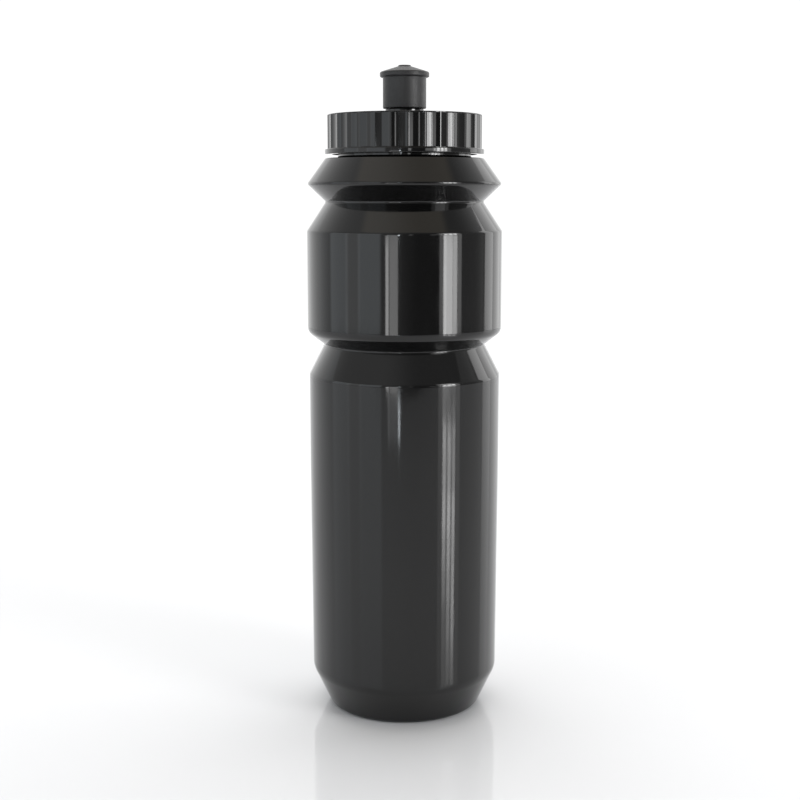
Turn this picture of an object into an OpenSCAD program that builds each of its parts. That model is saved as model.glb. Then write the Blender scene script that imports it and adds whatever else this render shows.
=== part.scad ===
// Squeeze bottle for a bicycle cage: blow-moulded bottle, fluted screw cap and push-pull drinking valve.
// Millimetres, +Z up, the axis of the bottle on Z and its foot ring on z = 0. -Y is the front.

/* [Bottle] */
// Diameter of the barrel, the widest straight part
barrel_d = 74; // [72:0.5:76]
// Diameter of the lower body where the cage holds it
grip_d = 72.9; // [71:0.1:74]
// Diameter of the lower body just above the foot chamfer
lower_d = 72; // [70:0.5:72.5]
// Diameter of the foot, measured at the sharp corner of the chamfer
foot_d = 58.2; // [56:0.2:62]
// Height of the foot chamfer
foot_chamfer_h = 14.6; // [10:0.1:18]
// Height at which the drafted lower body becomes a true cylinder
grip_start_z = 95; // [60:1:100]
// Height at which the lower body ends and the cage groove starts
grip_end_z = 130.4; // [126:0.1:134]
// Height of the bottom of the cage groove
cage_groove_z = 141.9; // [138:0.1:143]
// Diameter at the bottom of the cage groove
cage_groove_d = 61.1; // [58:0.1:64]
// Height of the lower edge of the barrel
barrel_bottom_z = 146.9; // [146:0.1:150]
// Height of the upper edge of the barrel
barrel_top_z = 184.8; // [180:0.1:187]
// Height of the bottom of the neck groove
neck_groove_z = 195.7; // [193:0.1:197]
// Diameter at the bottom of the neck groove
neck_groove_d = 59.6; // [57:0.1:62]
// Height of the ridge under the shoulder
ridge_z = 202.3; // [201:0.1:204]
// Diameter of the ridge
ridge_d = 73.6; // [70:0.1:75]
// Height of the flat shoulder that the neck stands on
shoulder_z = 211.8; // [210:0.1:212.5]
// Diameter of the edge of the shoulder
shoulder_d = 59.8; // [58:0.1:61]
// How far the middle of the base is pushed up
base_rise = 3.2; // [2:0.1:5]
// Wall thickness of the bottle
wall = 1.2; // [0.9:0.1:1.6]

/* [Neck and thread] */
// Outer diameter of the neck
neck_d = 50.2; // [49:0.1:50.6]
// Inner diameter of the neck, the mouth of the bottle
mouth_d = 46.4; // [45.4:0.1:47]
// Height of the neck rim
rim_z = 224.6; // [224:0.1:224.6]
// Rise of the thread in one turn
thread_pitch = 5; // [4.6:0.1:5.2]
// Turns of each thread
thread_turns = 1.25; // [1:0.05:1.3]
// Height of the thread over the wall that carries it
thread_h = 1.4; // [1:0.1:1.5]

/* [Screw cap] */
// Outer diameter, over the crests between the grooves
cap_d = 58; // [57.6:0.1:59]
// Height of the top of the cap
cap_top_z = 227.8; // [227.6:0.1:229]
// Thickness of the cap's top
deck_t = 2; // [1.6:0.1:2.2]
// Inner diameter of the skirt
skirt_bore_d = 54; // [53.8:0.1:54.4]
// Height of the underside of the flange at the foot of the cap
flange_z = 213.25; // [213:0.05:213.6]
// Thickness of the flange
flange_t = 1.9; // [1:0.1:2.2]
// Diameter of the flange
flange_d = 60; // [59.4:0.1:62]
// Number of grip grooves around the cap
grooves = 30; // [20:1:36]
// Depth of the grip grooves
groove_depth = 0.5; // [0.3:0.05:0.7]
// Part of each pitch that is groove
groove_share = 0.94; // [0.7:0.02:0.96]

/* [Push-pull valve] */
// Diameter of the collar under the nozzle
collar_d = 14.4; // [14:0.1:16]
// Diameter of the hollow stem
stem_d = 10.2; // [10:0.1:10.3]
// Diameter of the drinking duct in the stem
duct_d = 7; // [6:0.1:7.2]
// Diameter of the plug on top of the stem
plug_d = 4.4; // [4:0.1:4.6]
// Travel of the nozzle from shut to open
nozzle_travel = 7; // [5:0.1:7]
// Height of the foot of the nozzle when shut
nozzle_z = 230.2; // [230.1:0.1:230.4]
// Height of the top of the nozzle when shut
nozzle_top_z = 246; // [245.8:0.1:247]
// Diameter of the nozzle
nozzle_d = 16.2; // [16:0.1:18]
// Diameter of the nozzle's head
head_d = 18.4; // [18:0.1:20]
// Height of the underside of the head
head_z = 241.6; // [241:0.1:241.8]
// Thickness of the head's edge
head_t = 1.85; // [1.4:0.05:2]
// Diameter of the opening in the tip
tip_hole_d = 3.6; // [3:0.1:3.8]

/* [Hidden] */
$fn = 96;
arc_steps = 5;              // straight steps in each rounded corner
embed = 0.4;                // how far joined solids reach into each other
over = 1;                   // how far a cutter runs past a face

// neck, thread and gasket
neck_r = neck_d / 2;
mouth_r = mouth_d / 2;
skirt_bore_r = skirt_bore_d / 2;
thread_root_w = 2.6;        // width of a thread at its foot
thread_crest_w = 1;         // width of a thread at its crest
thread_segments = 48;       // steps in one turn
thread_fade = 30;           // degrees over which each end of a thread runs out
neck_thread_z = 216.6;      // middle of the neck's thread where it starts
cap_thread_lead = 36;       // degrees by which the cap's thread starts later
cap_thread_drop = 1.9;      // how far the cap's thread runs below the neck's
deck_z = cap_top_z - deck_t;
gasket_gap = 0.3;           // gasket to skirt and to plug ring
cap_edge = 0.2;             // rounding of the cap's top edge
flange_edge = 0.35;         // rounding of the flange's edges
groove_end = 0.2;           // rounding at both ends of a grip groove
groove_turn = -3.75;        // degrees from the front to the middle of a grip groove

// plug ring of the cap, which centres the gasket and dips into the mouth
plug_ring_r = mouth_r - 1.1;
plug_ring_t = 1.3;
plug_ring_z = rim_z - 1.2;

// stem
cap_hole_r = 6.25;          // hole in the cap's top for the stem
shank_r = cap_hole_r - 0.05;
snap_r = 6.8;               // snap ring under the cap's top
snap_t = 1;
stem_foot_z = deck_z - 1.8;
collar_top_z = nozzle_z - 0.2;
lip_t = 1.2;                // lip at the foot of the nozzle core
stop_z = nozzle_z + lip_t + nozzle_travel;
stop_t = 0.9;               // stop bead on the stem
stem_top_z = 241.2;
web_h = 2;                  // webs that carry the plug
web_t = 1.2;
web_count = 3;
plug_top_z = 243;

// O-ring, whose outside runs in the nozzle's bore
bore_r = 5.45;
o_ring_wire_r = 0.6;
o_ring_r = bore_r - 0.03 - o_ring_wire_r;
o_ring_z = stop_z + stop_t + 0.75;
o_groove_r = o_ring_r - o_ring_wire_r;
o_groove_half = o_ring_wire_r + 0.1;

// nozzle
core_r = 7;
core_head_r = 8.1;
ceiling_z = 241.5;          // underside of the core's top
ceiling_top_z = 243.2;
seat_r = plug_d / 2 + 0.05; // orifice that the plug shuts
cup_r = 3.5;                // rim around the membrane
cup_t = 1.1;
cup_top_z = 244.6;
tip_ring_r = 2.25;
tip_ring_h = 0.4;

// membrane and its ring
membrane_rim_t = 0.8;
membrane_skin_t = 0.4;
membrane_r = cup_r - 0.05;
slit_l = 3;
slit_w = 0.12;
membrane_ring_bore_r = 2.1;

// ---- outlines ----------------------------------------------------------------------------------

function unit(v) = v / norm(v);
function left_of(v) = [-v.y, v.x];
function point(corner) = [corner.x, corner.y];

// The points of an arc of radius q that rounds the corner at b between a and c.
function round_corner(a, b, c, q) =
  q <= 0 ? [b] :
  let (u = unit(a - b),
       v = unit(c - b),
       half = acos(u * v) / 2,
       middle = b + unit(u + v) * q / sin(half),
       from = b + u * q / tan(half) - middle,
       to = b + v * q / tan(half) - middle,
       start = atan2(from.y, from.x),
       turn = (atan2(to.y, to.x) - start + 540) % 360 - 180)
  [for (i = [0:arc_steps]) middle + q * [cos(start + turn * i / arc_steps),
                                         sin(start + turn * i / arc_steps)]];

// Corners are [r, z, rounding]; the first and last stay sharp.
function rounded(corners) =
  let (last = len(corners) - 1)
  [for (i = [0:last]) each
     (i == 0 || i == last) ? [point(corners[i])] :
     round_corner(point(corners[i - 1]), point(corners[i]), point(corners[i + 1]), corners[i].z)];

// The corners moved to the left of their direction of travel by t, with roundings to suit.
function inset(corners, t) =
  let (last = len(corners) - 1)
  [for (i = [0:last])
     let (here = point(corners[i]),
          d_in = unit(point(corners[max(i, 1)]) - point(corners[max(i, 1) - 1])),
          d_out = unit(point(corners[min(i, last - 1) + 1]) - point(corners[min(i, last - 1)])),
          n_in = left_of(d_in),
          n_out = left_of(d_out),
          moved = here + t * (n_in + n_out) / (1 + n_in * n_out),
          bulges = d_in.x * d_out.y - d_in.y * d_out.x > 0,
          q = bulges ? max(corners[i].z - t, 0.3) : corners[i].z + t)
     [moved.x, moved.y, q]];

function backwards(list) = [for (i = [len(list) - 1:-1:0]) list[i]];

// Outside of the bottle, from the middle of the base to the edge of the shoulder.
body_corners = [
  [0, base_rise, 0],
  [foot_d / 2 - 10.5, base_rise, 2],
  [foot_d / 2 - 6.5, 0, 1.2],
  [foot_d / 2, 0, 2.5],
  [lower_d / 2, foot_chamfer_h, 7],
  [grip_d / 2, grip_start_z, 0],
  [grip_d / 2, grip_end_z, 2],
  [cage_groove_d / 2, cage_groove_z, 0.6],
  [barrel_d / 2, barrel_bottom_z, 3.6],
  [barrel_d / 2, barrel_top_z, 1.5],
  [neck_groove_d / 2, neck_groove_z, 0.8],
  [ridge_d / 2, ridge_z, 1],
  [shoulder_d / 2, shoulder_z, 0.6],
  [neck_r, shoulder_z, 0.8]
];

// ---- thread ------------------------------------------------------------------------------------

// A right-hand thread on a wall of radius root_r, with its crest at crest_r. It starts at the
// given angle, and it lies at height z where its helix crosses angle 0.
module thread(root_r, crest_r, z, start) {
  outward = crest_r > root_r;
  foot_r = outward ? root_r - embed : root_r + embed;
  steps = round(thread_turns * thread_segments);
  span = thread_turns * 360;
  function swell(turned) = min(1, min(turned, span - turned) / thread_fade);
  function ring(turned) =
    let (a = start + turned,
         mid = z + thread_pitch * a / 360,
         top_r = foot_r + (crest_r - foot_r) * max(swell(turned), 0.1))
    [for (p = [[foot_r, -thread_root_w / 2], [top_r, -thread_crest_w / 2],
               [top_r, thread_crest_w / 2], [foot_r, thread_root_w / 2]])
       [p.x * cos(a), p.x * sin(a), mid + p.y]];
  points = [for (i = [0:steps]) each ring(span * i / steps)];
  sides = [for (i = [0:steps - 1]) for (k = [0:3])
             let (a = 4 * i + k, b = 4 * i + (k + 1) % 4)
             each [[a, b, b + 4], [a, b + 4, a + 4]]];
  last = 4 * steps;
  ends = [[2, 1, 0], [3, 2, 0], [last, last + 1, last + 2], [last, last + 2, last + 3]];
  faces = [for (f = concat(sides, ends)) outward ? f : backwards(f)];
  polyhedron(points, faces, convexity = 6);
}

// ---- bottle ------------------------------------------------------------------------------------

module bottle_body() {
  outside = rounded(concat(body_corners, [[neck_r, rim_z, 0]]));
  lined = inset(body_corners, wall);
  inside = rounded(concat(
    [for (i = [0:len(lined) - 2]) lined[i]],
    [[mouth_r, shoulder_z - wall, 2], [mouth_r, rim_z, 0]]));
  color([0.07, 0.07, 0.075]) {
    rotate_extrude() polygon(concat(outside, backwards(inside)));
    thread(neck_r, neck_r + thread_h, neck_thread_z, 0);
  }
}

// ---- cap ---------------------------------------------------------------------------------------

module cap_shell() {
  cap_r = cap_d / 2;
  flange_r = flange_d / 2;
  outside = rounded([
    [cap_hole_r, cap_top_z, 0],
    [cap_r, cap_top_z, cap_edge],
    [cap_r, flange_z + flange_t, 0],
    [flange_r, flange_z + flange_t, flange_edge],
    [flange_r, flange_z, flange_edge],
    [skirt_bore_r + 0.5, flange_z, 0]
  ]);
  inside = [[skirt_bore_r, flange_z + 0.5], [skirt_bore_r, deck_z], [cap_hole_r, deck_z]];
  rotate_extrude() polygon(concat(outside, inside));
}

// One grip groove, the path of an upright round cutter that stops short of both ends of the skirt.
module grip_groove(angle) {
  r = cap_d / 2;
  half = 180 / grooves * groove_share;
  floor_r = r - groove_depth;
  middle = (r * r - floor_r * floor_r) / (2 * (r * cos(half) - floor_r));
  cutter_r = middle - floor_r;
  reach = asin(r * sin(half) / cutter_r) + 0.4;
  low = flange_z + flange_t + 0.1;
  high = cap_top_z - cap_edge - 0.1;
  section = rounded([
    [0, low, 0],
    [cutter_r, low, groove_end],
    [cutter_r, high, groove_end],
    [0, high, 0]
  ]);
  rotate([0, 0, angle])
    translate([middle, 0, 0])
      rotate([0, 0, 180 - reach])
        rotate_extrude(angle = 2 * reach)
          polygon(section);
}

module plug_ring() {
  translate([0, 0, plug_ring_z])
    difference() {
      cylinder(r = plug_ring_r, h = deck_z - plug_ring_z + embed);
      translate([0, 0, -over])
        cylinder(r = plug_ring_r - plug_ring_t, h = deck_z - plug_ring_z + over);
    }
}

module screw_cap() {
  color([0.05, 0.05, 0.055]) {
    difference() {
      union() {
        cap_shell();
        plug_ring();
      }
      for (i = [0:grooves - 1]) grip_groove(groove_turn - 90 + 360 / grooves * i);
      translate([0, 0, deck_z - over]) cylinder(r = cap_hole_r, h = deck_t + 2 * over);
    }
    thread(skirt_bore_r, skirt_bore_r - thread_h - 0.1,
           neck_thread_z - cap_thread_drop, cap_thread_lead);
  }
}

module cap_gasket() {
  color([0.8, 0.8, 0.78])
    translate([0, 0, rim_z])
      difference() {
        cylinder(r = skirt_bore_r - gasket_gap, h = deck_z - rim_z);
        translate([0, 0, -over])
          cylinder(r = plug_ring_r + gasket_gap, h = deck_z - rim_z + 2 * over);
      }
}

// ---- valve -------------------------------------------------------------------------------------

module valve_stem() {
  stem_r = stem_d / 2;
  duct_r = duct_d / 2;
  o_low = o_ring_z - o_groove_half;
  o_high = o_ring_z + o_groove_half;
  web_reach = (duct_r + o_groove_r) / 2;
  outside = [
    [duct_r, stem_foot_z], [snap_r - 0.6, stem_foot_z],
    [snap_r, deck_z - snap_t + 0.2], [snap_r, deck_z],
    [shank_r, deck_z], [shank_r, cap_top_z],
    [collar_d / 2, cap_top_z], [collar_d / 2, collar_top_z - 0.4], [collar_d / 2 - 0.4, collar_top_z],
    [stem_r, collar_top_z], [stem_r, stop_z],
    [bore_r - 0.07, stop_z], [bore_r - 0.07, stop_z + stop_t / 2], [stem_r, stop_z + stop_t],
    [stem_r, o_low], [o_groove_r, o_low],
    [o_groove_r, o_high], [stem_r, o_high],
    [stem_r, stem_top_z - 0.3], [stem_r - 0.3, stem_top_z], [duct_r, stem_top_z]
  ];
  color([0.05, 0.05, 0.055]) {
    rotate_extrude() polygon(outside);
    translate([0, 0, stem_top_z - web_h - 0.4])
      cylinder(r = plug_d / 2, h = plug_top_z - stem_top_z + web_h);
    translate([0, 0, plug_top_z - 0.4])
      cylinder(r1 = plug_d / 2, r2 = plug_d / 2 - 0.4, h = 0.4);
    for (i = [0:web_count - 1])
      rotate([0, 0, 360 / web_count * i])
        translate([plug_d / 4, -web_t / 2, stem_top_z - web_h])
          cube([web_reach - plug_d / 4, web_t, web_h - 0.3]);
  }
}

module stem_o_ring() {
  color([0.09, 0.09, 0.09])
    rotate_extrude()
      translate([o_ring_r, o_ring_z])
        circle(r = o_ring_wire_r, $fn = 32);
}

module nozzle_core() {
  color([0.08, 0.08, 0.08])
    rotate_extrude()
      polygon([
        [stem_d / 2 + 0.1, nozzle_z], [core_r, nozzle_z],
        [core_r, head_z + 0.3], [core_head_r, head_z + 0.3],
        [core_head_r, ceiling_top_z], [cup_r + cup_t, ceiling_top_z],
        [cup_r + cup_t, cup_top_z], [cup_r, cup_top_z],
        [cup_r, ceiling_top_z], [seat_r, ceiling_top_z],
        [seat_r, ceiling_z], [bore_r, ceiling_z],
        [bore_r, nozzle_z + lip_t], [stem_d / 2 + 0.1, nozzle_z + lip_t]
      ]);
}

// Soft sleeve and head, drawn over the core and closed down to the opening in the tip.
module mouthpiece() {
  outside = rounded([
    [core_r, nozzle_z, 0],
    [nozzle_d / 2, nozzle_z, 0.5],
    [nozzle_d / 2, head_z, 0.3],
    [head_d / 2, head_z, 0.5],
    [head_d / 2, head_z + head_t, 0.7],
    [tip_ring_r + 0.15, nozzle_top_z - tip_ring_h, 0],
    [tip_ring_r, nozzle_top_z, 0.15],
    [tip_hole_d / 2, nozzle_top_z, 0]
  ]);
  inside = [
    [tip_hole_d / 2, cup_top_z], [cup_r + cup_t, cup_top_z],
    [cup_r + cup_t, ceiling_top_z], [core_head_r, ceiling_top_z],
    [core_head_r, head_z + 0.3], [core_r, head_z + 0.3]
  ];
  color([0.2, 0.2, 0.205])
    rotate_extrude() polygon(concat(outside, inside));
}

module valve_membrane() {
  color([0.15, 0.15, 0.15])
    translate([0, 0, ceiling_top_z])
      difference() {
        cylinder(r = membrane_r, h = membrane_rim_t);
        translate([0, 0, membrane_skin_t])
          cylinder(r = membrane_ring_bore_r, h = membrane_rim_t);
        for (a = [0, 90])
          rotate([0, 0, a])
            translate([-slit_l / 2, -slit_w / 2, -over])
              cube([slit_l, slit_w, membrane_rim_t + 2 * over]);
      }
}

module membrane_ring() {
  color([0.08, 0.08, 0.08])
    translate([0, 0, ceiling_top_z + membrane_rim_t])
      difference() {
        cylinder(r = membrane_r, h = cup_top_z - ceiling_top_z - membrane_rim_t);
        translate([0, 0, -over]) cylinder(r = membrane_ring_bore_r, h = cup_top_z);
      }
}

bottle_body();
screw_cap();
cap_gasket();
valve_stem();
stem_o_ring();
nozzle_core();
mouthpiece();
valve_membrane();
membrane_ring();
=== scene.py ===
import math

import bmesh
import bpy
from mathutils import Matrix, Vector


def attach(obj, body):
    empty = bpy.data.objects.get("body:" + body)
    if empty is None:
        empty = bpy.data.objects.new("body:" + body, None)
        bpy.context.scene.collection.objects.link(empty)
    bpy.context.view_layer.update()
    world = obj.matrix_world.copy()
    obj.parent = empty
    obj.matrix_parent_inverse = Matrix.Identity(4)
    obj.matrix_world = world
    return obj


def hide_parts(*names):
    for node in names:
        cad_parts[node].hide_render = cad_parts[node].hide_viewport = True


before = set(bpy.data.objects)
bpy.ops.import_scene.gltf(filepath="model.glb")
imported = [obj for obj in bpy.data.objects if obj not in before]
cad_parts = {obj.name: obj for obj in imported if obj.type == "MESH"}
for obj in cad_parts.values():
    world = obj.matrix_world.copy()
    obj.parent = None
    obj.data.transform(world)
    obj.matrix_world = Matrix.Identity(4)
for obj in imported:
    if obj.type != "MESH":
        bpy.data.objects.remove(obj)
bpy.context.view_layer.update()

# Outlines are in millimetres, as [radius, height, rounding] corners. Meshes and the studio are in
# metres.
MM = 0.001
TURN = 2 * math.pi
WHITE = (1, 1, 1)
ARC_STEP = math.radians(9)      # largest step in a rounded corner
SUPPORT = 0.3                   # a point this far beyond a rounding keeps its straight flat,
SUPPORT_SHARE = 0.15            # or at this share of the straight, where that is nearer
SAME_POINT = 1e-4               # outline points closer than this are one, in mm
SAME_VERTEX = 1e-7              # the same for vertices, in m
ON_AXIS = 1e-6                  # a smaller radius is a point on the axis
SHARP = math.radians(28)        # edges steeper than this are shaded sharp


# ---- meshes ------------------------------------------------------------------------------------

def rounded(corners, closed=False):
    """The (radius, height) points of an outline with its corners rounded."""
    count = len(corners)
    points = []
    for i, (r, z, q) in enumerate(corners):
        here = Vector((r, z))
        if q <= 0 or (not closed and i in (0, count - 1)):
            points.append(here)
            continue
        back = Vector(corners[i - 1][:2]) - here
        ahead = Vector(corners[(i + 1) % count][:2]) - here
        u, v = back.normalized(), ahead.normalized()
        half = math.acos(max(-1, min(1, u.dot(v)))) / 2
        tangent = q / math.tan(half)
        middle = here + (u + v).normalized() * q / math.sin(half)
        first = here + u * tangent - middle
        final = here + v * tangent - middle
        start = math.atan2(first.y, first.x)
        turn = (math.atan2(final.y, final.x) - start + math.pi) % TURN - math.pi
        steps = max(3, math.ceil(abs(turn) / ARC_STEP))
        beyond = min(SUPPORT, SUPPORT_SHARE * (back.length - tangent))
        points.append(here + u * (tangent + beyond))
        for k in range(steps + 1):
            a = start + turn * k / steps
            points.append(middle + q * Vector((math.cos(a), math.sin(a))))
        beyond = min(SUPPORT, SUPPORT_SHARE * (ahead.length - tangent))
        points.append(here + v * (tangent + beyond))
    kept = [p for i, p in enumerate(points)
            if i == 0 or (p - points[i - 1]).length > SAME_POINT]
    return [(p.x, p.y) for p in kept]


def subdivided(points, low, high, step):
    """The same outline with points every step between the heights low and high."""
    result = [points[0]]
    for (r0, z0), (r1, z1) in zip(points, points[1:]):
        parts = 1
        if low <= min(z0, z1) + 0.01 and max(z0, z1) <= high + 0.01:
            parts = max(1, math.ceil(abs(z1 - z0) / step))
        for k in range(1, parts + 1):
            result.append((r0 + (r1 - r0) * k / parts, z0 + (z1 - z0) * k / parts))
    return result


def ring(count, extra=()):
    """Angles around the axis, evenly spaced, with any extra ones between them."""
    return sorted([TURN * k / count for k in range(count)] + [a % TURN for a in extra])


def finished(name, mesh):
    """Wraps a mesh into an object of the scene, with outward normals and smooth shading."""
    work = bmesh.new()
    work.from_mesh(mesh)
    bmesh.ops.remove_doubles(work, verts=work.verts, dist=SAME_VERTEX)
    bmesh.ops.recalc_face_normals(work, faces=work.faces)
    work.to_mesh(mesh)
    work.free()
    mesh.shade_smooth()
    mesh.set_sharp_from_angle(angle=SHARP)
    piece = bpy.data.objects.new(name, mesh)
    bpy.context.scene.collection.objects.link(piece)
    return piece


def lathe(name, points, angles, shape=None, closed=True):
    """Turns an outline about the axis. shape(angle, r, z, index) may move each point."""
    verts, rows = [], []
    for index, (r, z) in enumerate(points):
        start = len(verts)
        if r < ON_AXIS:
            verts.append((0, 0, (shape(0, 0, z, index)[2] if shape else z) * MM))
            rows.append([start] * len(angles))
            continue
        for a in angles:
            b, rr, zz = shape(a, r, z, index) if shape else (a, r, z)
            verts.append((rr * math.cos(b) * MM, rr * math.sin(b) * MM, zz * MM))
        rows.append(list(range(start, len(verts))))
    faces = []
    for low, high in zip(rows, rows[1:] + (rows[:1] if closed else [])):
        for k in range(len(angles)):
            j = (k + 1) % len(angles)
            face = list(dict.fromkeys((low[k], low[j], high[j], high[k])))
            if len(face) > 2:
                faces.append(face)
    mesh = bpy.data.meshes.new(name)
    mesh.from_pydata(verts, [], faces)
    return finished(name, mesh)


def smooth(x):
    """Smooth step: 0 up to x = 0, 1 from x = 1."""
    x = max(0.0, min(1.0, x))
    return x * x * (3 - 2 * x)


# ---- threads, shared by the neck and the cap ---------------------------------------------------

PITCH = 5.0
THREAD_TURNS = 1.25
THREAD_FADE = math.radians(30)  # over which a thread rises at its two ends
THREAD_HALF = 1.35              # half its width at the wall
THREAD_FLANK = 0.95             # width of each flank


def thread_height(angle, z, start, z0, height):
    """How far a right-hand thread stands off its wall at this angle and height."""
    best = 0.0
    for lap in (0, 1):
        turned = (angle - start) % TURN + TURN * lap
        if turned > THREAD_TURNS * TURN:
            continue
        middle = z0 + PITCH * (start + turned) / TURN
        swell = smooth(min(turned, THREAD_TURNS * TURN - turned) / THREAD_FADE)
        profile = smooth((THREAD_HALF - abs(z - middle)) / THREAD_FLANK)
        best = max(best, height * swell * profile)
    return best


# ---- bottle ------------------------------------------------------------------------------------

BARREL_R = 37
BASE_Z = 3.2                    # height of the pushed-up base
BASE_ROWS = (0.6, 1.2, 2.2, 4, 7, 10.5, 14, 16, 16.8)
NECK_LOW, NECK_HIGH = 212.4, 224.2
NECK_ROW = 0.2
NECK_THREAD = {"start": 0, "z0": 216.6, "height": 1.4}
SEAM_HALF = 0.28                # parting line of the blow mould, at +X and -X
SEAM_H = 0.06
SEAM_FROM, SEAM_FADE = 24, 4    # it starts at this radius and rises over the next millimetres
PINCH_HALF = 0.55               # pinch-off ridge across the base, along X
PINCH_H = 0.45
PINCH_FLANK = 1.6               # steepness of its sides
PINCH_END, PINCH_FADE = 16.6, 1.5
SEAM_STATIONS = (SEAM_HALF / BARREL_R, SEAM_HALF / BARREL_R / 2)

# Outside from the middle of the base up to the rim, then the inside back down.
BODY = [
    [0, BASE_Z, 0], [18.6, BASE_Z, 2], [22.6, 0, 1.2], [29.1, 0, 2.5], [36.0, 14.6, 7],
    [36.45, 95, 0], [36.45, 130.4, 2], [30.55, 141.9, 0.6], [BARREL_R, 146.9, 3.6],
    [BARREL_R, 184.8, 1.5], [29.8, 195.7, 0.8], [36.8, 202.3, 1], [29.9, 211.8, 0.6],
    [25.1, 211.8, 0.8], [25.1, 224.6, 0.35], [23.2, 224.6, 0.35], [23.2, 210.6, 2],
    [29.2, 210.6, 1.8], [35.15, 202.3, 0.3], [28.0, 195.75, 2.0], [35.8, 184.1, 0.5],
    [35.8, 147.7, 2.4], [28.9, 141.9, 1.8], [35.25, 130.0, 0.8], [35.25, 95, 0],
    [34.8, 14.87, 5.8], [28.34, 1.2, 1.3], [23.0, 1.2, 2.4], [18.9, 4.4, 0.8], [0, 4.4, 0]
]


def from_seam(angle):
    """The signed angle to the nearer parting line."""
    return (angle + math.pi / 2) % math.pi - math.pi / 2


def warped(angle, r, wide):
    """Moves the stations beside the parting line so that they run parallel to X here."""
    fold = from_seam(angle)
    far, near = SEAM_STATIONS
    marks = [(0, 0), (near, math.asin(min(0.45, wide / 2 / r))),
             (far, math.asin(min(0.9, wide / r))), (math.pi / 2, math.pi / 2)]
    size = abs(fold)
    for (a0, b0), (a1, b1) in zip(marks, marks[1:]):
        if size <= a1 + 1e-9:
            moved = b0 + (b1 - b0) * (size - a0) / (a1 - a0)
            return angle - fold + math.copysign(moved, fold)
    return angle


def make_bottle():
    """Blow-moulded shell with its neck thread, parting line and pinch-off ridge."""
    points = rounded(BODY)
    # The flat part of the base gets rows close enough for its ridge.
    foot = next(i for i, (r, z) in enumerate(points) if r > 17)
    points[1:foot] = [(r, BASE_Z) for r in BASE_ROWS]
    points = subdivided(points, NECK_LOW, NECK_HIGH, NECK_ROW)
    rim = max(i for i, (r, z) in enumerate(points) if r > 24.5 and z > 224)

    def shape(angle, r, z, index):
        if index > rim:         # the inside
            return angle, r, z
        if z > NECK_LOW:        # the neck, with its thread on the cylinder only
            grown = thread_height(angle, z, **NECK_THREAD) if r > 25 else 0
            return angle, r + grown, z
        if index <= len(BASE_ROWS):     # the pinch-off ridge
            if r == 0:
                return angle, r, z - PINCH_H
            moved = warped(angle, r, PINCH_HALF)
            off = abs(r * math.sin(moved)) / PINCH_HALF
            ridge = PINCH_H * smooth((1 - off) * PINCH_FLANK)
            return moved, r, z - ridge * smooth((PINCH_END - r) / PINCH_FADE)
        off = r * abs(from_seam(angle)) / SEAM_HALF
        seam = SEAM_H * smooth(1.02 - off)
        return angle, r + seam * smooth((r - SEAM_FROM) / SEAM_FADE), z

    extra = [s * a + b for b in (0, math.pi) for a in SEAM_STATIONS for s in (1, -1)]
    return lathe("bottle_shell", points, ring(192, extra), shape, closed=False)


# ---- cap ---------------------------------------------------------------------------------------

CAP_R = 29.0
CAP_THREAD = {"start": math.radians(36), "z0": 214.7, "height": 1.5}
CAP_ROW = 0.22
GRIPS = 30                      # scallops around the cap
GRIP_DEPTH = 0.5
GRIP_SHARE = 0.94               # part of each pitch that is scallop
GRIP_LOW, GRIP_HIGH = 215.25, 227.5
GRIP_END = 0.2                  # radius of the rounded ends of the scallops
GRIP_END_ANGLES = (0, 0.4, 0.8, 1.2, 1.571)
GRIP_SUPPORT = (0.06, 0.15, 1)  # rows past each end that keep the shading of the scallops straight
GRIP_STATIONS = (0.2, 0.4, 0.6, 0.8, 0.91, 0.94, 0.97)      # as a share of half a pitch
GRIP_PHASE = math.radians(-90 - 3.75)


def scallop(offset):
    """Depth of a scallop at an angle from its middle, the path of a round cutter."""
    half = math.pi / GRIPS * GRIP_SHARE
    low = CAP_R - GRIP_DEPTH
    centre = (CAP_R ** 2 - low ** 2) / (2 * (CAP_R * math.cos(half) - low))
    cutter = centre - low
    across = centre * math.sin(offset)
    reach = centre * math.cos(offset) - math.sqrt(cutter ** 2 - across ** 2)
    return max(0.0, CAP_R - reach)


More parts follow.
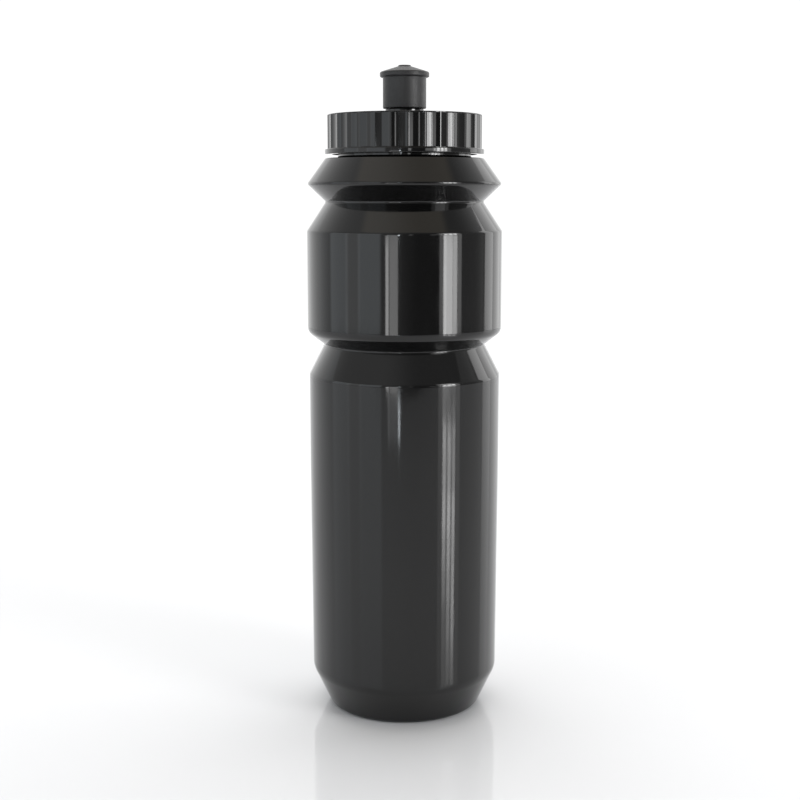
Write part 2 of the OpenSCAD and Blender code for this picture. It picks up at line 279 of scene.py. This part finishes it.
def make_cap():
    """Screw cap with its scalloped grip, the flange at its foot and the thread inside."""
    outside = rounded([
        [6.25, 227.8, 0], [CAP_R, 227.8, 0.2], [CAP_R, 215.15, 0.05], [30, 215.15, 0.35],
        [30, 213.25, 0.35], [27.5, 213.25, 0]])
    inside = rounded([
        [27, 213.75, 0], [27, 225.8, 0.3], [22.1, 225.8, 0.2], [22.1, 223.4, 0.4],
        [20.8, 223.4, 0.4], [20.8, 225.8, 0.2], [6.25, 225.8, 0]])
    ends = [GRIP_LOW + GRIP_END * (1 - math.cos(a)) for a in GRIP_END_ANGLES]
    ends += [GRIP_LOW + GRIP_END + beyond for beyond in GRIP_SUPPORT]
    levels = ends + [GRIP_LOW + GRIP_HIGH - z for z in ends]
    straight = [i for i, (r, z) in enumerate(outside) if abs(r - CAP_R) < 1e-6]
    outside[straight[0] + 1:straight[-1]] = [(CAP_R, z) for z in sorted(levels, reverse=True)]
    inside = subdivided(inside, 213.7, 223.2, CAP_ROW)
    turn_in = len(outside)
    pitch = TURN / GRIPS

    def shape(angle, r, z, index):
        if index >= turn_in:    # the inside, with its thread on the wide bore only
            if r > 26.9 and z < 224:
                return angle, r - thread_height(angle, z, **CAP_THREAD), z
            return angle, r, z
        if r > 28 and GRIP_LOW < z < GRIP_HIGH:         # the grip
            offset = (angle - GRIP_PHASE + pitch / 2) % pitch - pitch / 2
            near = min(z - GRIP_LOW, GRIP_HIGH - z, GRIP_END) / GRIP_END
            depth = scallop(offset) * math.sqrt(1 - (1 - near) ** 2)
            return angle, min(r, CAP_R - depth), z
        return angle, r, z

    stations = [s * f * pitch / 2 for f in GRIP_STATIONS for s in (1, -1)]
    angles = [GRIP_PHASE + pitch * i + s
              for i in range(GRIPS) for s in [0, pitch / 2] + stations]
    return lathe("cap_shell", outside + inside, sorted(a % TURN for a in angles), shape)


# ---- valve -------------------------------------------------------------------------------------

WEBS = 3                        # webs that carry the plug in the stem
WEB_BEVEL = 0.08
O_RING_R, O_RING_Z, O_RING_HALF = 4.82, 240.05, 0.6
SLIT_HALF, SLIT_WIDTH_HALF = 1.5, 0.06


def box_mesh(corners_low, corners_high):
    """A box between two corners in millimetres."""
    work = bmesh.new()
    bmesh.ops.create_cube(work, size=1)
    for v in work.verts:
        v.co = Vector([(lo if c < 0 else hi) * MM
                       for c, lo, hi in zip(v.co, corners_low, corners_high)])
    return work


def combined(name, target, tools, operation):
    """Applies boolean tools to a piece and removes them."""
    for tool in tools:
        step = target.modifiers.new("join", "BOOLEAN")
        step.operation = operation
        step.solver = "EXACT"
        step.object = tool
    graph = bpy.context.evaluated_depsgraph_get()
    mesh = bpy.data.meshes.new_from_object(target.evaluated_get(graph))
    mesh.name = name
    for extra in tools + [target]:
        bpy.data.objects.remove(extra)
    return finished(name, mesh)


def bar(name, low, high, angle=0.0):
    """A box with bevelled edges, turned about the axis."""
    work = box_mesh(low, high)
    bmesh.ops.bevel(work, geom=work.edges[:], offset=WEB_BEVEL * MM, segments=2, affect="EDGES")
    mesh = bpy.data.meshes.new(name)
    work.to_mesh(mesh)
    work.free()
    piece = finished(name, mesh)
    piece.rotation_euler.z = angle
    return piece


def make_stem():
    """Hollow stem snapped into the cap, with its O-ring groove, stop bead, webs and plug."""
    tube = lathe("stem_tube", rounded([
        [3.5, 224.0, 0.2], [6.2, 224.0, 0.1], [6.8, 225.0, 0.1], [6.8, 225.8, 0.1],
        [6.2, 225.8, 0.05], [6.2, 227.8, 0.05], [7.2, 227.8, 0.1], [7.2, 230.0, 0.4],
        [5.1, 230.0, 0.15], [5.1, 238.4, 0.1], [5.38, 238.4, 0.1], [5.38, 238.85, 0.15],
        [5.1, 239.3, 0.1], [5.1, 239.35, 0], [4.22, 239.35, 0.1], [4.22, 240.75, 0.1],
        [5.1, 240.75, 0.1], [5.1, 241.2, 0.2], [3.5, 241.2, 0.2]], closed=True), ring(128))
    plug = lathe("stem_plug", rounded([
        [0, 238.8, 0], [1.5, 238.8, 0.4], [2.2, 239.6, 0.6], [2.2, 242.6, 0.3],
        [1.8, 243.0, 0.2], [0, 243.0, 0]]), ring(96), closed=False)
    webs = [bar(f"web_{i}", (1.1, -0.6, 239.2), (3.86, 0.6, 240.9), TURN * i / WEBS)
            for i in range(WEBS)]
    bpy.context.view_layer.update()
    return combined("drink_stem", tube, [plug] + webs, "UNION")


def make_core():
    """Hard sleeve inside the mouthpiece, with the stop lip and the orifice."""
    return lathe("nozzle_sleeve", rounded([
        [5.2, 230.2, 0.15], [7, 230.2, 0.1], [7, 241.9, 0.1], [8.1, 241.9, 0.1],
        [8.1, 243.2, 0.1], [4.6, 243.2, 0.1], [4.6, 244.6, 0.1], [3.5, 244.6, 0.1],
        [3.5, 243.2, 0.1], [2.25, 243.2, 0.15], [2.25, 241.5, 0.15], [5.45, 241.5, 0.2],
        [5.45, 231.4, 0.1], [5.2, 231.4, 0.1]], closed=True), ring(128))


def make_mouthpiece():
    """Soft sleeve with its mushroom head and the opening in the tip."""
    return lathe("mouthpiece_soft", rounded([
        [7, 230.2, 0], [8.1, 230.2, 0.25], [8.1, 241.6, 0.3], [9.2, 241.6, 0.5],
        [9.2, 243.45, 0.7], [2.4, 245.6, 0.12], [2.25, 246, 0.15], [1.8, 246, 0.15],
        [1.8, 244.6, 0.1], [4.6, 244.6, 0], [4.6, 243.2, 0], [8.1, 243.2, 0], [8.1, 241.9, 0],
        [7, 241.9, 0]], closed=True), ring(192))


def make_o_ring():
    """Seal between the stem and the sliding nozzle."""
    circle = [(O_RING_R + O_RING_HALF * math.cos(TURN * k / 24),
               O_RING_Z + O_RING_HALF * math.sin(TURN * k / 24)) for k in range(24)]
    return lathe("stem_seal", circle, ring(96))


def make_gasket():
    """Flat ring between the neck's rim and the cap."""
    return lathe("rim_gasket", rounded([
        [22.4, 224.6, 0.15], [26.7, 224.6, 0.15], [26.7, 225.8, 0.15], [22.4, 225.8, 0.15]],
        closed=True), ring(160))


def make_membrane():
    """Membrane with a crossed slit, under the opening in the tip."""
    disc = lathe("membrane_disc", rounded([
        [0, 243.2, 0], [3.45, 243.2, 0.1], [3.45, 244.0, 0.1], [2.1, 244.0, 0.1],
        [2.1, 243.6, 0.1], [0, 243.6, 0]]), ring(96), closed=False)
    cutters = []
    for i, (x, y) in enumerate(((SLIT_HALF, SLIT_WIDTH_HALF), (SLIT_WIDTH_HALF, SLIT_HALF))):
        work = box_mesh((-x, -y, 242), (x, y, 245))
        mesh = bpy.data.meshes.new(f"slit_{i}")
        work.to_mesh(mesh)
        work.free()
        cutters.append(finished(f"slit_{i}", mesh))
    return combined("valve_disc", disc, cutters, "DIFFERENCE")


def make_membrane_ring():
    """Hard ring that holds the membrane in its seat."""
    return lathe("disc_ring", rounded([
        [2.1, 244.0, 0.08], [3.45, 244.0, 0.08], [3.45, 244.6, 0.08], [2.1, 244.6, 0.2]],
        closed=True), ring(96))


# ---- materials ---------------------------------------------------------------------------------

class Nodes:
    """A material's node tree, with short ways to add the nodes used here."""

    def __init__(self, name):
        self.material = bpy.data.materials.new(name)
        self.material.use_nodes = True
        self.tree = self.material.node_tree
        self.shader = self.tree.nodes["Principled BSDF"]
        self.coords = self.tree.nodes.new("ShaderNodeTexCoord").outputs["Object"]

    def link(self, source, target):
        self.tree.links.new(source, target)

    def noise(self, scale, detail=2.0, stretch=(1, 1, 1)):
        mapping = self.tree.nodes.new("ShaderNodeMapping")
        mapping.inputs["Scale"].default_value = stretch
        self.link(self.coords, mapping.inputs["Vector"])
        node = self.tree.nodes.new("ShaderNodeTexNoise")
        node.inputs["Scale"].default_value = scale
        node.inputs["Detail"].default_value = detail
        self.link(mapping.outputs["Vector"], node.inputs["Vector"])
        return node.outputs["Fac"]

    def spread(self, source, low, high, to_low, to_high):
        node = self.tree.nodes.new("ShaderNodeMapRange")
        for socket, value in zip(("From Min", "From Max", "To Min", "To Max"),
                                 (low, high, to_low, to_high)):
            node.inputs[socket].default_value = value
        self.link(source, node.inputs["Value"])
        return node.outputs["Result"]

    def math(self, operation, a, b):
        node = self.tree.nodes.new("ShaderNodeMath")
        node.operation = operation
        self.link(a, node.inputs[0])
        self.link(b, node.inputs[1])
        return node.outputs[0]

    def height(self):
        split = self.tree.nodes.new("ShaderNodeSeparateXYZ")
        self.link(self.coords, split.inputs[0])
        return split.outputs["Z"]

    def bump(self, source, distance, under=None):
        node = self.tree.nodes.new("ShaderNodeBump")
        node.inputs["Strength"].default_value = 1.0
        node.inputs["Distance"].default_value = distance
        self.link(source, node.inputs["Height"])
        if under:
            self.link(under, node.inputs["Normal"])
        return node.outputs["Normal"]

    def colour(self, source, dark, light):
        node = self.tree.nodes.new("ShaderNodeValToRGB")
        node.color_ramp.elements[0].color = (*dark, 1)
        node.color_ramp.elements[1].color = (*light, 1)
        node.color_ramp.elements[0].position = 0.3
        node.color_ramp.elements[1].position = 0.7
        self.link(source, node.inputs["Fac"])
        self.link(node.outputs["Color"], self.shader.inputs["Base Color"])


def gloss(name, dark, light, rough, wave, peel, worn_foot=False):
    """Polished black plastic: slow waviness, fine orange peel, faint scuffs in the gloss."""
    n = Nodes(name)
    n.colour(n.noise(35, 3), dark, light)
    n.shader.inputs["IOR"].default_value = 1.5
    scuffs = n.noise(260, 6, (1, 1, 0.25))
    roughness = n.spread(scuffs, 0.45, 0.75, rough, rough + 0.06)
    if worn_foot:       # rougher over the lowest millimetre, where the bottle is set down
        low = n.spread(n.height(), 0.0002, 0.0012, 0.35, 0)
        wear = n.math("MULTIPLY", low, n.noise(900, 4))
        roughness = n.math("ADD", roughness, wear)
    n.link(roughness, n.shader.inputs["Roughness"])
    slow = n.bump(n.noise(45, 1, (1, 1, 0.12)), wave)
    n.link(n.bump(n.noise(700, 2), peel, slow), n.shader.inputs["Normal"])
    return n.material


def matt(name, dark, light, rough, grain_scale, grain, sheen=0.0):
    """Soft moulded rubber or plastic with a fine spark-eroded grain."""
    n = Nodes(name)
    n.colour(n.noise(120, 3), dark, light)
    n.shader.inputs["IOR"].default_value = 1.48
    n.shader.inputs["Sheen Weight"].default_value = sheen
    n.shader.inputs["Sheen Roughness"].default_value = 0.4
    n.link(n.spread(n.noise(grain_scale / 3, 3), 0.3, 0.7, rough - 0.06, rough + 0.06),
           n.shader.inputs["Roughness"])
    n.link(n.bump(n.noise(grain_scale, 3), grain), n.shader.inputs["Normal"])
    return n.material


bottle_black = gloss("bottle_black", (0.0022, 0.0022, 0.0023), (0.003, 0.003, 0.003),
                     0.06, 0.00012, 0.000002, worn_foot=True)
cap_black = gloss("cap_black", (0.002, 0.002, 0.0021), (0.0028, 0.0028, 0.0028),
                  0.05, 0.00002, 0.0000012)
soft_black = matt("soft_black", (0.0138, 0.0138, 0.0146), (0.0175, 0.0175, 0.0183),
                  0.5, 4200, 0.000012, 0.08)
hard_black = matt("hard_black", (0.012, 0.012, 0.013), (0.016, 0.016, 0.017),
                  0.32, 3000, 0.000004)
seal_black = matt("seal_black", (0.015, 0.015, 0.015), (0.02, 0.02, 0.02),
                  0.42, 5000, 0.000004)
silicone = matt("gasket_white", (0.62, 0.62, 0.6), (0.7, 0.7, 0.68),
                0.38, 4000, 0.000004)
silicone_shader = silicone.node_tree.nodes["Principled BSDF"]
silicone_shader.inputs["Subsurface Weight"].default_value = 0.3
silicone_shader.inputs["Subsurface Scale"].default_value = 0.002

# What makes each piece, its material, the body it rides on, the CAD node it replaces, its slot.
PIECES = [
    (make_bottle, bottle_black, "bottle", "bottle_body", "bottle_gloss"),
    (make_cap, cap_black, "cap", "screw_cap", "cap_gloss"),
    (make_gasket, silicone, "seal", "cap_gasket", "gasket_silicone"),
    (make_stem, cap_black, "cap", "valve_stem", "cap_gloss"),
    (make_o_ring, seal_black, "cap", "stem_o_ring", "black_seal"),
    (make_core, hard_black, "nozzle", "nozzle_core", "nozzle_hard"),
    (make_mouthpiece, soft_black, "nozzle", "mouthpiece", "mouthpiece_soft"),
    (make_membrane, seal_black, "nozzle", "valve_membrane", "black_seal"),
    (make_membrane_ring, hard_black, "nozzle", "membrane_ring", "nozzle_hard"),
]
for make, material, rides_on, node, slot in PIECES:
    piece = make()
    piece.data.materials.clear()
    piece.data.materials.append(material)
    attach(piece, rides_on)
    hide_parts(node)


# ---- floor -------------------------------------------------------------------------------------

TABLE_R = 1.25
TABLE_FRONT = -0.86             # where its straight front edge runs
TABLE_Z = -0.00005              # just under the foot ring
TABLE_SEGMENTS = 64


def make_floor():
    """Round white table top with a straight front edge."""
    mesh = bpy.data.meshes.new("table_top")
    work = bmesh.new()
    turned = math.asin(-TABLE_FRONT / TABLE_R)
    sweep = math.pi + 2 * turned
    rim = [work.verts.new((TABLE_R * math.cos(a), TABLE_R * math.sin(a), TABLE_Z))
           for a in (-turned + sweep * i / TABLE_SEGMENTS for i in range(TABLE_SEGMENTS + 1))]
    work.faces.new(rim)
    work.to_mesh(mesh)
    work.free()
    floor = bpy.data.objects.new("table_top", mesh)
    bpy.context.scene.collection.objects.link(floor)
    n = Nodes("table_white")
    n.colour(n.noise(6, 2), (0.778, 0.785, 0.802), (0.798, 0.805, 0.822))
    n.shader.inputs["IOR"].default_value = 1.45
    n.link(n.spread(n.noise(80, 3), 0.3, 0.7, 0.03, 0.05), n.shader.inputs["Roughness"])
    mesh.materials.append(n.material)


# ---- lights ------------------------------------------------------------------------------------

AIM = Vector((0, 0, 0.12))
BLUE, COOL, WARM = (0.87, 0.945, 1.0), (0.95, 0.98, 1.0), (1.0, 0.85, 0.62)


def feathered(data, feather):
    """Lets a softbox fade out towards its upright edges, over this share of its width."""
    data.use_nodes = True
    tree = data.node_tree
    emission = tree.nodes["Emission"]
    place = tree.nodes.new("ShaderNodeNewGeometry")
    split = tree.nodes.new("ShaderNodeSeparateXYZ")
    across = tree.nodes.new("ShaderNodeMath")
    across.operation = "PINGPONG"
    across.inputs[1].default_value = 0.5
    fade = tree.nodes.new("ShaderNodeMapRange")
    fade.interpolation_type = "SMOOTHSTEP"
    fade.inputs["From Max"].default_value = feather
    tree.links.new(place.outputs["Parametric"], split.inputs[0])
    tree.links.new(split.outputs["X"], across.inputs[0])
    tree.links.new(across.outputs[0], fade.inputs["Value"])
    tree.links.new(fade.outputs["Result"], emission.inputs["Strength"])


def panel(name, azimuth, elevation, distance, width, height, radiance, tint=WHITE,
          feather=0.0):
    """A softbox. Azimuth is degrees to the right of the way to the camera, seen from the
    bottle."""
    data = bpy.data.lights.new(name, "AREA")
    data.shape = "RECTANGLE"
    data.size, data.size_y = width, height
    data.energy = radiance * math.pi * width * height
    data.color = tint
    if feather:
        feathered(data, feather)
    lamp = bpy.data.objects.new(name, data)
    a, e = math.radians(azimuth), math.radians(elevation)
    way = Vector((math.sin(a) * math.cos(e), -math.cos(a) * math.cos(e), math.sin(e)))
    lamp.location = AIM + way * distance
    lamp.rotation_euler = way.to_track_quat("Z", "Y").to_euler()
    lamp.visible_camera = False
    bpy.context.scene.collection.objects.link(lamp)
    return lamp


def wall(name, from_az, to_az, radiance, tint=WHITE, feather=0.0, distance=1.3, top=1.0,
         foot=0.01):
    """An upright softbox that fills the view from the bottle between two azimuths."""
    middle = (from_az + to_az) / 2
    width = 2 * distance * math.tan(math.radians(abs(to_az - from_az) / 2))
    lamp = panel(name, middle, 0, distance, width, top - foot, radiance, tint, feather)
    lamp.location.z = (top + foot) / 2


make_floor()

# A panel's distance and height decide which part of the bottle shows it. What the barrel shows
# lies a little below the camera's level, and reaches below the table's edge at 2 to 3 m. The
# lower body shows its panels by way of the table, mirrored, which takes heights of 0.13 m and
# more at 2 m. The cap shows only what stands above the camera's level, such as the panels at 6 m.
wall("window_bright", -22.2, -18.2, 5.8, WHITE, 0.15, 3.0, 0.1, -0.5)
wall("window_plain", -17.9, -7.6, 2.8, WHITE, 0.06, 3.0, 0.1, -0.5)
wall("window_high", -20.0, -16.8, 2.4, COOL, 0.2, 2.0, 0.265, 0.13)
wall("window_high_plain", -17.1, -7.2, 1.7, COOL, 0.06, 2.0, 0.265, 0.13)
wall("window_edge", -7.8, -5.2, 26, BLUE, 0.2, 2.0, 0.26, 0.15)
wall("cap_window", 4.6, 9.4, 3.2, WHITE, 0.1, 6.0, 0.6, 0.32)
wall("cap_glow", 29, 41.5, 2.3, WHITE, 0.05, 6.0, 0.6, 0.32)
wall("cap_edge", 41.5, 44.5, 8.5, WHITE, 0.1, 6.0, 0.6, 0.32)
wall("left_near", -56, -25.5, 1.03, BLUE, 0.12, top=0.75)
wall("left_mid", -73, -51, 0.72, COOL, 0.2, top=0.75)
wall("left_side", -97, -67, 0.95, BLUE, 0.15, top=0.75)
wall("left_back", -121, -93, 0.25, BLUE, 0.15, top=0.75)
wall("left_far", -155, -117, 0.18, COOL, 0.1, top=0.75)
wall("right_glow", 39.8, 45.2, 1.5, feather=0.1)

# The key light is one wide band for the barrel and breaks up into three streaks further up, which
# the lower body shows. They fade towards the top, and so towards the bottle's foot.
KEY_DISTANCE = 2.0
KEY_BANDS = (("", 45.2, 49.5, 11.5, 0.06), ("mid_", 49.3, 57.0, 9.6, 0.04),
             ("end_", 56.8, 63.2, 7.6, 0.12))
KEY_STREAKS = ((45.3, 51.2), (51.5, 57.3), (57.5, 62.9))
KEY_STREAK_FEATHER = 0.3
KEY_STREAK_LEVELS = (           # foot, top and the radiance of each streak between them
    (0.225, 0.37, (12, 11.5, 7.5)), (0.37, 0.45, (19.5, 22.5, 17.5)),
    (0.45, 0.52, (14, 19, 18)), (0.52, 0.59, (8, 15, 18.5)),
    (0.59, 0.67, (2, 11, 18.5)), (0.67, 0.75, (1, 6, 9)))
for part, share, foot, top in (("low", 1.0, -0.15, 0.14), ("gap", 0.35, 0.14, 0.225)):
    for band, from_az, to_az, radiance, feather in KEY_BANDS:
        wall("right_key_" + band + part, from_az, to_az, radiance * share, WHITE, feather,
             KEY_DISTANCE, top, foot)
wall("right_key_high", 45.2, 63.2, 4.5, WHITE, 0.06, KEY_DISTANCE, 1.5, 0.225)
for foot, top, levels in KEY_STREAK_LEVELS:
    for (from_az, to_az), radiance in zip(KEY_STREAKS, levels):
        wall("right_key_streak", from_az, to_az, radiance, WHITE, KEY_STREAK_FEATHER,
             KEY_DISTANCE, top, foot)

wall("right_spill", 62.5, 69, 1.9, feather=0.2)
wall("right_side", 67, 105, 0.22, feather=0.1)
wall("right_back", 106, 126, 1.8, feather=0.08)
wall("right_far", 125, 150, 0.6, feather=0.1)
panel("ceiling", 0, 90, 1.5, 2.2, 1.9, 0.32, WARM, 0.1)
table_fill = panel("table_fill", 180, 60, 2.0, 2.4, 2.4, 1.3, (0.97, 0.985, 1.0))
table_fill.visible_glossy = False


# ---- room --------------------------------------------------------------------------------------

world = bpy.data.worlds.new("studio")
bpy.context.scene.world = world
world.use_nodes = True
tree = world.node_tree
tree.nodes.clear()


def world_node(kind, **inputs):
    """A node of the world's tree, with values for its inputs."""
    node = tree.nodes.new(kind)
    for key, value in inputs.items():
        node.inputs[key.replace("_", " ")].default_value = value
    return node


def world_ramp(source, low, high, to_low, to_high):
    """Smooth change from to_low to to_high while the source goes from low to high."""
    node = world_node("ShaderNodeMapRange", From_Min=low, From_Max=high,
                      To_Min=to_low, To_Max=to_high)
    node.interpolation_type = "SMOOTHSTEP"
    tree.links.new(source, node.inputs["Value"])
    return node.outputs["Result"]


# The room is lighter upwards, to the left and most of all behind the bottle. The camera itself
# sees an even white backdrop.
direction = world_node("ShaderNodeTexCoord")
split = world_node("ShaderNodeSeparateXYZ")
tree.links.new(direction.outputs["Generated"], split.inputs[0])
rise = world_ramp(split.outputs["Z"], 0.05, 0.85, 0.12, 0.3)
behind = world_ramp(split.outputs["Y"], -0.05, 0.9, 0.0, 1.0)
left = world_ramp(split.outputs["X"], 0.3, -0.45, 0.0, 0.35)
front = world_node("ShaderNodeMath")
tree.links.new(rise, front.inputs[0])
tree.links.new(left, front.inputs[1])
level = world_node("ShaderNodeMix", B=1.25)
tree.links.new(behind, level.inputs["Factor"])
tree.links.new(front.outputs[0], level.inputs["A"])
room = world_node("ShaderNodeBackground", Color=(0.985, 0.985, 0.985, 1))
tree.links.new(level.outputs["Result"], room.inputs["Strength"])
backdrop = world_node("ShaderNodeBackground", Color=(1, 1, 1, 1), Strength=1.05)
path = world_node("ShaderNodeLightPath")
mix = world_node("ShaderNodeMixShader")
tree.links.new(path.outputs["Is Camera Ray"], mix.inputs["Fac"])
tree.links.new(room.outputs[0], mix.inputs[1])
tree.links.new(backdrop.outputs[0], mix.inputs[2])
output = world_node("ShaderNodeOutputWorld")
tree.links.new(mix.outputs[0], output.inputs["Surface"])

bpy.context.scene.view_settings.view_transform = "Standard"


# ---- camera ------------------------------------------------------------------------------------

CAMERA_AT = (-0.0017, -0.5102, 0.1989)
CAMERA_DOWN = 8.82              # degrees below the horizontal

lens = bpy.data.cameras.new("camera")
lens.lens = 60
lens.sensor_width = 36
lens.clip_start = 0.01
camera = bpy.data.objects.new("camera", lens)
camera.location = CAMERA_AT
camera.rotation_euler = (math.radians(90 - CAMERA_DOWN), 0, 0)
bpy.context.scene.collection.objects.link(camera)
bpy.context.scene.camera = camera
